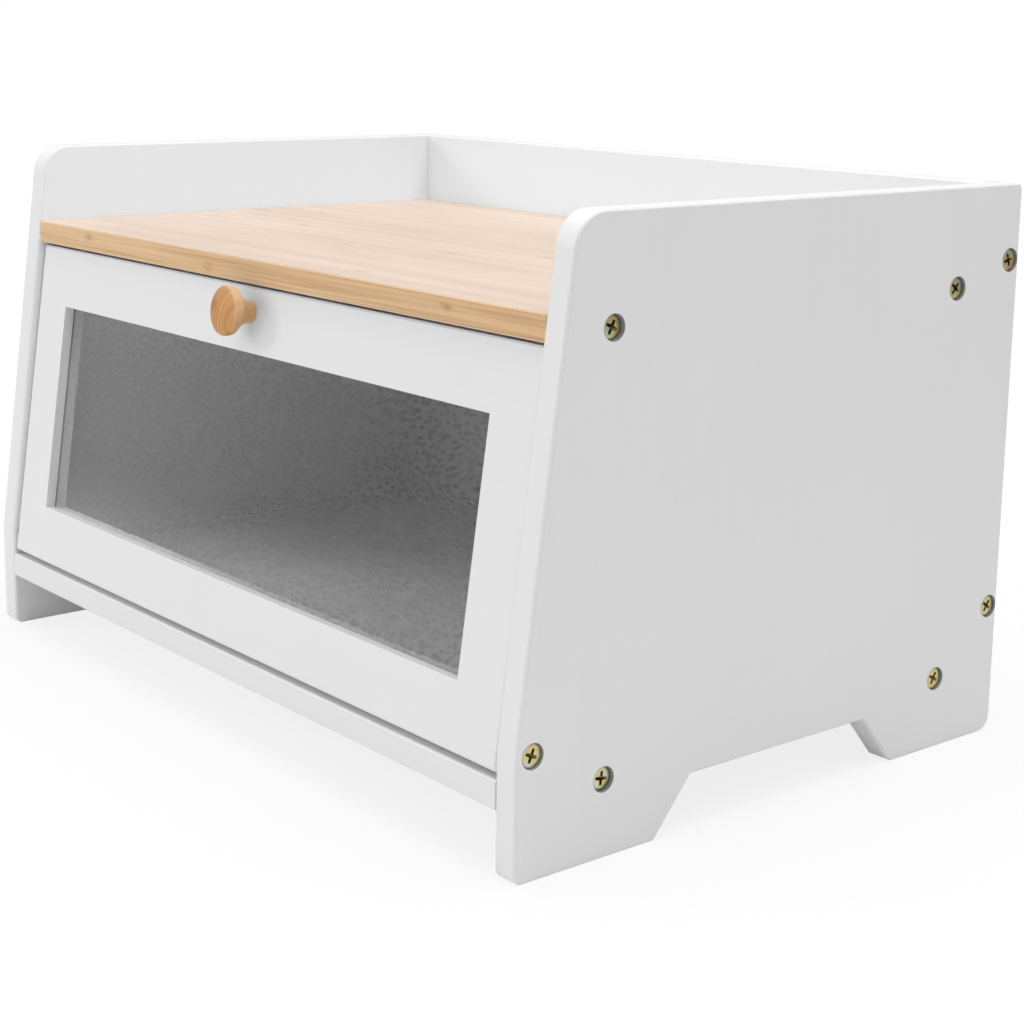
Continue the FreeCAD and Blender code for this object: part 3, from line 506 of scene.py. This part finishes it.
# --- meshes ---------------------------------------------------------------------------------------
def add_object(name, data):
    """A new object in the scene."""
    item = bpy.data.objects.new(name, data)
    bpy.context.scene.collection.objects.link(item)
    return item


def to_data(name, mesh):
    """A bmesh as mesh data, which uses the bmesh up."""
    data = bpy.data.meshes.new(name)
    mesh.to_mesh(data)
    mesh.free()
    return data


def finished_mesh(name, mesh, sharp_angle):
    """A bmesh as smooth-shaded mesh data whose edges beyond an angle stay sharp."""
    for face in mesh.faces:
        face.smooth = True
    for edge in mesh.edges:
        if len(edge.link_faces) == 2 and edge.calc_face_angle() > sharp_angle:
            edge.smooth = False
    return to_data(name, mesh)


def new_piece(name, mesh, material, slot, body, *nodes):
    """Put a finished mesh in the scene as a named piece on a body, standing for CAD nodes."""
    piece = add_object(name, mesh)
    mesh.materials.clear()
    mesh.materials.append(material)
    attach(piece, body)
    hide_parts(*nodes)


def skin(mesh, rings):
    """Faces between neighbouring rings of a bmesh's vertices; a ring may be a single vertex."""
    count = max(len(ring) for ring in rings)
    for first, second in zip(rings, rings[1:]):
        for i in range(count):
            following = (i + 1) % count
            corners = [first[i % len(first)], first[following % len(first)],
                       second[following % len(second)], second[i % len(second)]]
            mesh.faces.new(list(dict.fromkeys(corners)))


def lathe(profile, segments):
    """A bmesh turned about the X axis from (x, radius) points; a radius of 0 closes on the axis."""
    mesh = bmesh.new()
    angles = [2 * math.pi * i / segments for i in range(segments)]
    rings = []
    for x, radius in profile:
        if radius == 0:
            rings.append([mesh.verts.new((x, 0, 0))])
        else:
            rings.append([mesh.verts.new((x, radius * math.cos(angle), radius * math.sin(angle)))
                          for angle in angles])
    skin(mesh, rings)
    bmesh.ops.recalc_face_normals(mesh, faces=mesh.faces)
    return mesh


def smooth_line(points, steps):
    """Points along a Catmull-Rom curve through the given points."""
    guarded = [2 * Vector(points[0]) - Vector(points[1])] + [Vector(point) for point in points]
    guarded.append(2 * guarded[-1] - guarded[-2])
    line = []
    for a, b, c, d in zip(guarded, guarded[1:], guarded[2:], guarded[3:]):
        for step in range(steps):
            t = step / steps
            line.append(0.5 * (2 * b + (c - a) * t + (2 * a - 5 * b + 4 * c - d) * t ** 2
                               + (3 * b - a - 3 * c + d) * t ** 3))
    line.append(Vector(points[-1]))
    return [tuple(point) for point in line]


def turned_knob():
    """The turned knob: smooth flare, full rim and domed face, around the screw's pilot bore."""
    # (distance from the door, radius), in mm
    outline = [(0.4, 5.0), (2.6, 5.05), (4.0, 5.6), (5.6, 6.4), (7.2, 7.6), (8.8, 9.1),
               (10.2, 10.5), (11.4, 11.05), (12.6, 11.2), (13.6, 11.1), (14.3, 10.6),
               (14.65, 9.8), (14.9, 8.6), (15.3, 5.4), (15.6, 0.0)]
    bore_depth, bore_radius, foot_radius = 9.0, 1.95, 4.7
    bore = [(bore_depth, 0.0), (bore_depth, bore_radius), (0.0, bore_radius), (0.0, foot_radius)]
    profile = [(x * MM, radius * MM) for x, radius in bore + smooth_line(outline, 5)]
    mesh = lathe(profile, 72)
    turn = Vector((1, 0, 0)).rotation_difference(OUT_OF_DOOR).to_matrix().to_4x4()
    base = KNOB_TIP - OUT_OF_DOOR * KNOB_LENGTH
    bmesh.ops.transform(mesh, matrix=Matrix.Translation(base) @ turn, verts=mesh.verts)
    data = finished_mesh("turned_knob", mesh, math.radians(50))
    new_piece("turned_knob", data, WOOD, "turned_wood", "door", "knob")


# The cross recess, in mm: (height above the head's face, size there as a share of the full cross)
CROSS_LEVELS = ((0.4, 1.06), (-0.3, 0.97), (-1.5, 0.66), (-2.4, 0.2))
CROSS_SPAN = 5.8
CROSS_ARM = 1.55
CROSS_TAPER = 0.75


def cross_cutter():
    """A tapering cross along X that cuts the recess of a screw head."""
    half, narrow = CROSS_SPAN / 2, CROSS_ARM / 2
    quarter = [(half, narrow * CROSS_TAPER), (narrow, narrow), (narrow * CROSS_TAPER, half)]
    outline = []
    for cos, sin in ((1, 0), (0, 1), (-1, 0), (0, -1)):
        outline += [(y * cos - z * sin, y * sin + z * cos) for y, z in quarter]
    mesh = bmesh.new()
    rings = [[mesh.verts.new((x * MM, y * share * MM, z * share * MM)) for y, z in outline]
             for x, share in CROSS_LEVELS]
    skin(mesh, rings)
    mesh.faces.new(rings[0])
    mesh.faces.new(list(reversed(rings[-1])))
    bmesh.ops.recalc_face_normals(mesh, faces=mesh.faces)
    return mesh


def cut(body_mesh, tool_mesh, name):
    """The first bmesh less the second, as mesh data."""
    solid = add_object(name, to_data(name, body_mesh))
    tool = add_object(name + "_tool", to_data(name + "_tool", tool_mesh))
    modifier = solid.modifiers.new("cut", "BOOLEAN")
    modifier.operation = "DIFFERENCE"
    modifier.solver = "EXACT"
    modifier.object = tool
    ready = solid.evaluated_get(bpy.context.evaluated_depsgraph_get())
    result = bpy.data.meshes.new_from_object(ready)
    for item in (solid, tool):
        bpy.data.objects.remove(item)
    return result


def wood_screw(length):
    """A countersunk wood screw along X, its flat head at x = 0 and its point at -length."""
    head, shank = SCREW_HEAD / 2, SCREW_SHANK / 2
    rim_ease, rim_drop, point = 0.3 * MM, 0.2 * MM, 6 * MM
    profile = [
        (0, 0),
        (0, head - rim_ease),
        (-rim_ease / 3, head),
        (-rim_drop, head),
        (-(head - shank) - rim_drop, shank),
        (-(length - point), shank),
        (-length, 0),
    ]
    return cut(lathe(profile, 48), cross_cutter(), "wood_screw")


def screw_set(node, body, length, *drives):
    """Dressed screws for one CAD node, one in each side panel at each of its spots.

    A drive is how deep a screw's head lies under the face, in mm, and how far its cross is turned,
    in degrees.
    """
    pattern = wood_screw(length)
    mesh = bmesh.new()
    for (y, z), (depth, degrees) in zip(SCREW_SPOTS[node], drives):
        for side in (1, -1):
            spin = Matrix.Rotation(math.radians(degrees * side), 4, "X")
            turn = Matrix.Rotation(0 if side == 1 else math.pi, 4, "Z")
            place = Matrix.Translation((side * (BOX_HIGH.x - depth * MM), y, z))
            start = len(mesh.verts)
            mesh.from_mesh(pattern)
            mesh.verts.ensure_lookup_table()
            bmesh.ops.transform(mesh, matrix=place @ turn @ spin, verts=mesh.verts[start:])
    data = finished_mesh("dressed_" + node, mesh, math.radians(35))
    new_piece("dressed_" + node, data, ZINC, "yellow_zinc", body, node)


turned_knob()
screw_set("shelf_screws", "cabinet", SCREW_LENGTH, (1.7, -27), (1.2, -40))
screw_set("bottom_screws", "cabinet", SCREW_LENGTH, (1.5, -8), (1.0, -29))
screw_set("back_screws", "cabinet", SCREW_LENGTH, (1.0, -36), (0.9, 18))
screw_set("pivot_screws", "door", PIVOT_SCREW_LENGTH, (0.9, -24))


# --- floor, light, camera -------------------------------------------------------------------------
def floor_finish():
    """A pale table top that fades to white in view, and keeps the soft shadow beside the box."""
    finish = Finish("studio_floor", Base_Color=FLOOR_TONE, Roughness=0.9, Specular_IOR_Level=0.1)
    path = finish.add("ShaderNodeLightPath").outputs
    past_box = finish.vector("SUBTRACT", finish.vector("ABSOLUTE", finish.place), BOX_HIGH)
    gap = finish.vector("LENGTH", finish.vector("MAXIMUM", past_box))
    white = finish.span(gap, 0.0, SHADOW_FADE, 1 - SHADOW_KEPT, 1.0, smooth=True)
    seen = finish.math("MULTIPLY", path["Is Camera Ray"], white)
    mirrored = finish.math("MAXIMUM", path["Is Glossy Ray"], path["Is Transmission Ray"])
    reach = finish.vector("LENGTH", finish.place)
    dimmed = finish.span(reach, *GLOSS_FADE, 0.0, 1 - SURROUND_IN_GLOSS, smooth=True)
    level = finish.math("SUBTRACT", 1.0, finish.math("MULTIPLY", path["Is Glossy Ray"], dimmed))
    glow = finish.add("ShaderNodeEmission", Strength=level).outputs["Emission"]
    blend = finish.add("ShaderNodeMixShader")
    sources = (finish.math("MAXIMUM", seen, mirrored), finish.shader.outputs["BSDF"], glow)
    for socket, source in zip(blend.inputs, sources):
        finish.feed(socket, source)
    finish.feed(finish.tree.nodes["Material Output"].inputs["Surface"], blend.outputs[0])
    return finish.material


def studio_floor():
    """A wide square floor under the box."""
    mesh = bmesh.new()
    corners = [(-1, -1), (1, -1), (1, 1), (-1, 1)]
    mesh.faces.new([mesh.verts.new((x * FLOOR_HALF, y * FLOOR_HALF, 0)) for x, y in corners])
    floor = add_object("studio_floor", to_data("studio_floor", mesh))
    floor.data.materials.append(floor_finish())


def surround():
    """An even pale surround, white to the camera and through glass, and dimmer in reflections."""
    world = bpy.data.worlds.new("surround")
    bpy.context.scene.world = world
    world.use_nodes = True
    nodes = Nodes(world.node_tree)
    path = nodes.add("ShaderNodeLightPath").outputs
    unseen = nodes.span(path["Is Glossy Ray"], 0.0, 1.0, SURROUND_LEVEL, SURROUND_IN_GLOSS)
    seen = nodes.math("MAXIMUM", path["Is Camera Ray"], path["Is Transmission Ray"])
    background = world.node_tree.nodes["Background"]
    nodes.feed(background.inputs["Color"], (1, 1, 1))
    nodes.feed(background.inputs["Strength"], nodes.span(seen, 0.0, 1.0, unseen, 1.0))


def soft_box(name, place, target, size, power):
    """A square lamp that faces a target."""
    data = bpy.data.lights.new(name, "AREA")
    data.shape = "SQUARE"
    data.size = size
    data.energy = power
    lamp = add_object(name, data)
    lamp.location = place
    lamp.rotation_euler = (Vector(target) - Vector(place)).to_track_quat("-Z", "Y").to_euler()


def camera():
    """The camera at the photograph's viewing angle."""
    data = bpy.data.cameras.new("camera")
    data.lens = CAMERA_LENS_MM
    data.sensor_width = CAMERA_SENSOR_MM
    data.shift_y = CAMERA_SHIFT_UP
    item = add_object("camera", data)
    right = CAMERA_AIM.cross(CAMERA_UP).normalized()
    up = right.cross(CAMERA_AIM).normalized()
    turn = Matrix((right, up, -CAMERA_AIM.normalized())).transposed()
    item.matrix_world = Matrix.Translation(CAMERA_PLACE) @ turn.to_4x4()
    bpy.context.scene.camera = item


studio_floor()
surround()
MIDDLE = (BOX_LOW + BOX_HIGH) / 2
for lamp_name, lamp in LAMPS.items():
    soft_box(lamp_name, lamp["place"], MIDDLE, lamp["size"], lamp["power"])
camera()
bpy.context.scene.view_settings.view_transform = "Standard"

bpy.context.view_layer.update()
